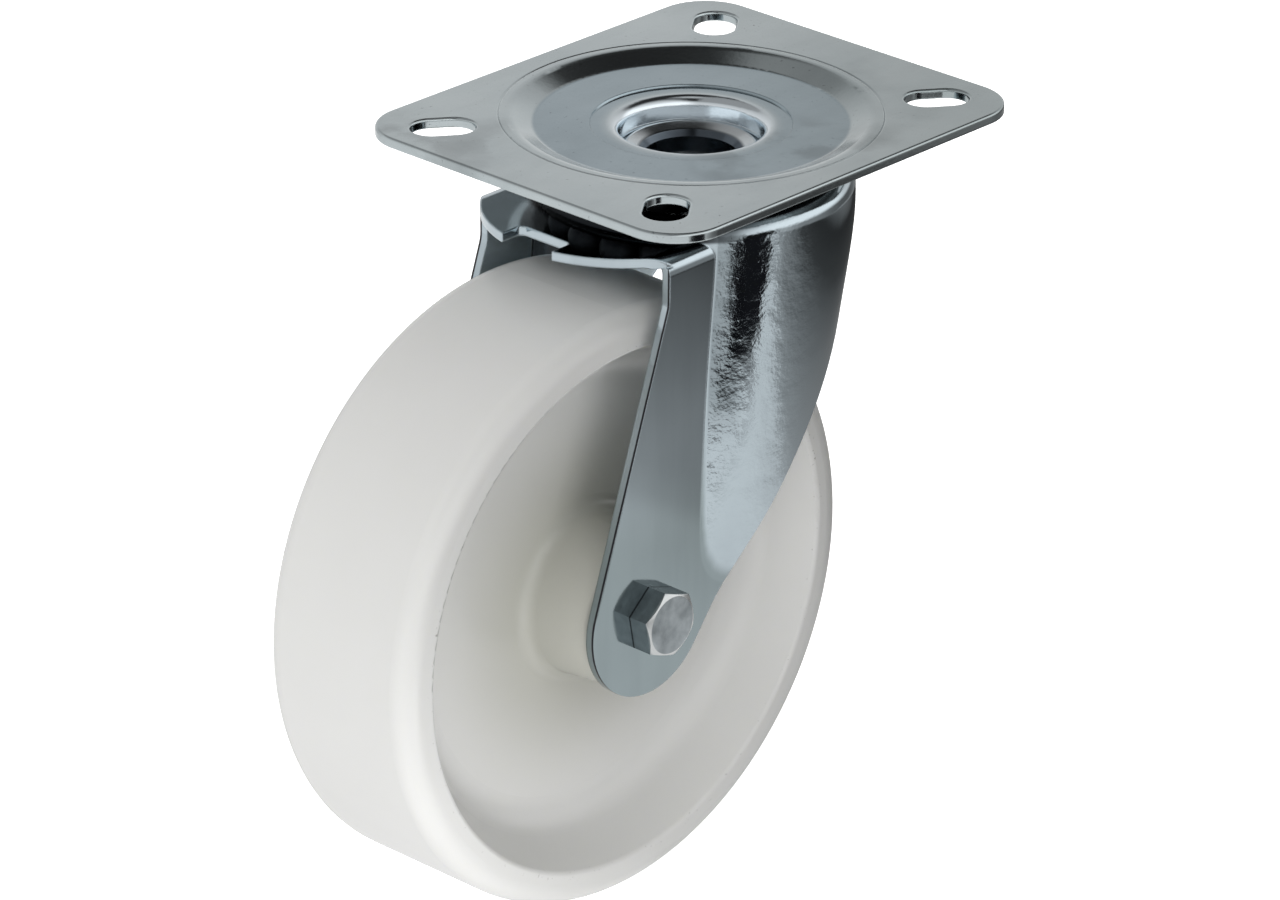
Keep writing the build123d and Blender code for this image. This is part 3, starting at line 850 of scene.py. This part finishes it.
# %% [markdown]
# ## Above the castor
# The plate and its dish show what is above them: the flat is pale and the dish's far wall
# nearly black. A single tone can't give both. So the world is pale low down, dark higher up
# and lighter again straight overhead. One side of the ceiling is lighter too, which ends the
# dark arc in the dish where it should end.

# %% Surroundings above
SIDE_TOP = (-4, 3)  # degrees above the horizon where the side tones give way
HEIGHT_TONES = (  # degrees above the horizon, and how pale the far side and ceiling are
    (-90, 0.80), (3, 0.80), (12, 0.75), (24, 0.66), (33, 0.55), (43, 0.035), (72, 0.02),
    (82, 0.40), (90, 0.60),
)
SKY_SIDE = (-0.674, 0.738, 0.0)  # direction to the lighter side of the ceiling
SKY_REACH = (0.08, 0.22)  # cosines of the angle from it between which it fades in
SKY_TONE = 0.34


def above_horizon(degrees):
    """Where an angle above the horizon falls on the world's 0 to 1 scale."""
    return (1 + math.sin(math.radians(degrees))) / 2


def tones_by_height(tones):
    """A ramp from the ground to straight overhead."""
    return colour_steps(
        tree, height, [(above_horizon(degrees), tone) for degrees, tone in tones]
    )


def towards(side):
    """Cosine of the angle between a ray and a direction."""
    node = add_node(tree, "VectorMath", [(0, direction), (1, side)], operation="DOT_PRODUCT")
    return node.outputs["Value"]


height = carry_over(tree, parts["Z"], -1.0, 1.0)
heights = tones_by_height(HEIGHT_TONES)
lighter = between(tree, towards(SKY_SIDE), *SKY_REACH)
heights = tint(tree, lighter, heights, grey(SKY_TONE), blend="LIGHTEN")
print("height tones:", len(HEIGHT_TONES))

# %% [markdown]
# ## The light bank
# On the bolt head's side stands a wide, soft bank of light. It draws bright lines along the
# rounded edges and shoulders that face it. A lamp could do that, but its reflection would be
# a hard square. So the bank is painted on the world too, brighter than white in its middle
# and fading at both ends. Soft light leaves it out, because it would flatten the wheel.

# %% Light bank
BANK_TONES = (  # degrees above the horizon, and how bright the bank is
    (-90, 0.80), (2, 0.90), (7, 1.30), (24, 1.30), (36, 0.90), (52, 0.60), (90, 0.60),
)
BANK_SIDE = (0.26, -0.966, 0.0)  # direction to the middle of the bank
BANK_WIDTH = (0.25, 0.65)  # cosines of the angle from its middle between which it fades in

sharp = arithmetic(tree, "SUBTRACT", 1.0, rays["Is Diffuse Ray"])
reach = arithmetic(tree, "MULTIPLY", between(tree, towards(BANK_SIDE), *BANK_WIDTH), sharp)
upper = tint(tree, reach, heights, tones_by_height(BANK_TONES))
above = between(tree, height, *[above_horizon(degrees) for degrees in SIDE_TOP])
studio = tint(tree, above, sides, upper)
print("bank tones:", len(BANK_TONES))

# %% [markdown]
# ## The soft light
# The same surroundings light the nylon. A world of one tone would light it evenly and take
# its roundness away, so the soft light falls off towards the shaded side. The camera itself
# sees plain white. One colour feeds the background, chosen by the kind of ray.

# %% Soft light and background
SHADE_FALL = (0.5, -0.4)  # x of the directions between which the soft light grows
SHADE = 0.1  # what is left of it on the shaded side

grown = arithmetic(tree, "MULTIPLY", between(tree, parts["X"], *SHADE_FALL), 1 - SHADE)
soft = arithmetic(tree, "MAXIMUM", arithmetic(tree, "ADD", grown, SHADE), sharp)
lit = tint(tree, soft, grey(0.0), studio)
white = tint(tree, rays["Is Camera Ray"], lit, grey(1.0))
tree.links.new(white, tree.nodes["Background"].inputs["Color"])
print(world.name, "has", len(tree.nodes), "nodes")

# %% [markdown]
# ## The lamps
# A small lamp gives hard shadows and a large one soft ones. Three large lamps stand round the
# castor, turned to its axle, and keep the nylon pale from every side. The fourth is small
# and stands low beside the wheel's foot, which the others hardly reach. Reflections leave the
# lamps out, because the metal already has its surroundings.

# %% Lamps
LAMPS = (
    # name, place (m), size (m), power (W)
    ("left", (-1.28, 0.22, 0.74), 0.8, 5.6),
    ("front", (-0.60, -0.78, 0.78), 0.9, 3.6),
    ("right", (1.20, 0.45, 0.45), 0.8, 17.0),
    ("low", (-0.130, -0.13, -0.178), 0.06, 0.075),
)
for name, place, size, power in LAMPS:
    data = bpy.data.lights.new(name, "AREA")
    data.shape = "SQUARE"
    data.size = size
    data.energy = power
    lamp = bpy.data.objects.new(name, data)
    lamp.location = place
    lamp.rotation_euler = (axle - Vector(place)).to_track_quat("-Z", "Y").to_euler()
    lamp.visible_glossy = False
    lamp.visible_camera = False
    bpy.context.scene.collection.objects.link(lamp)
print("lamps:", [lamp[0] for lamp in LAMPS])
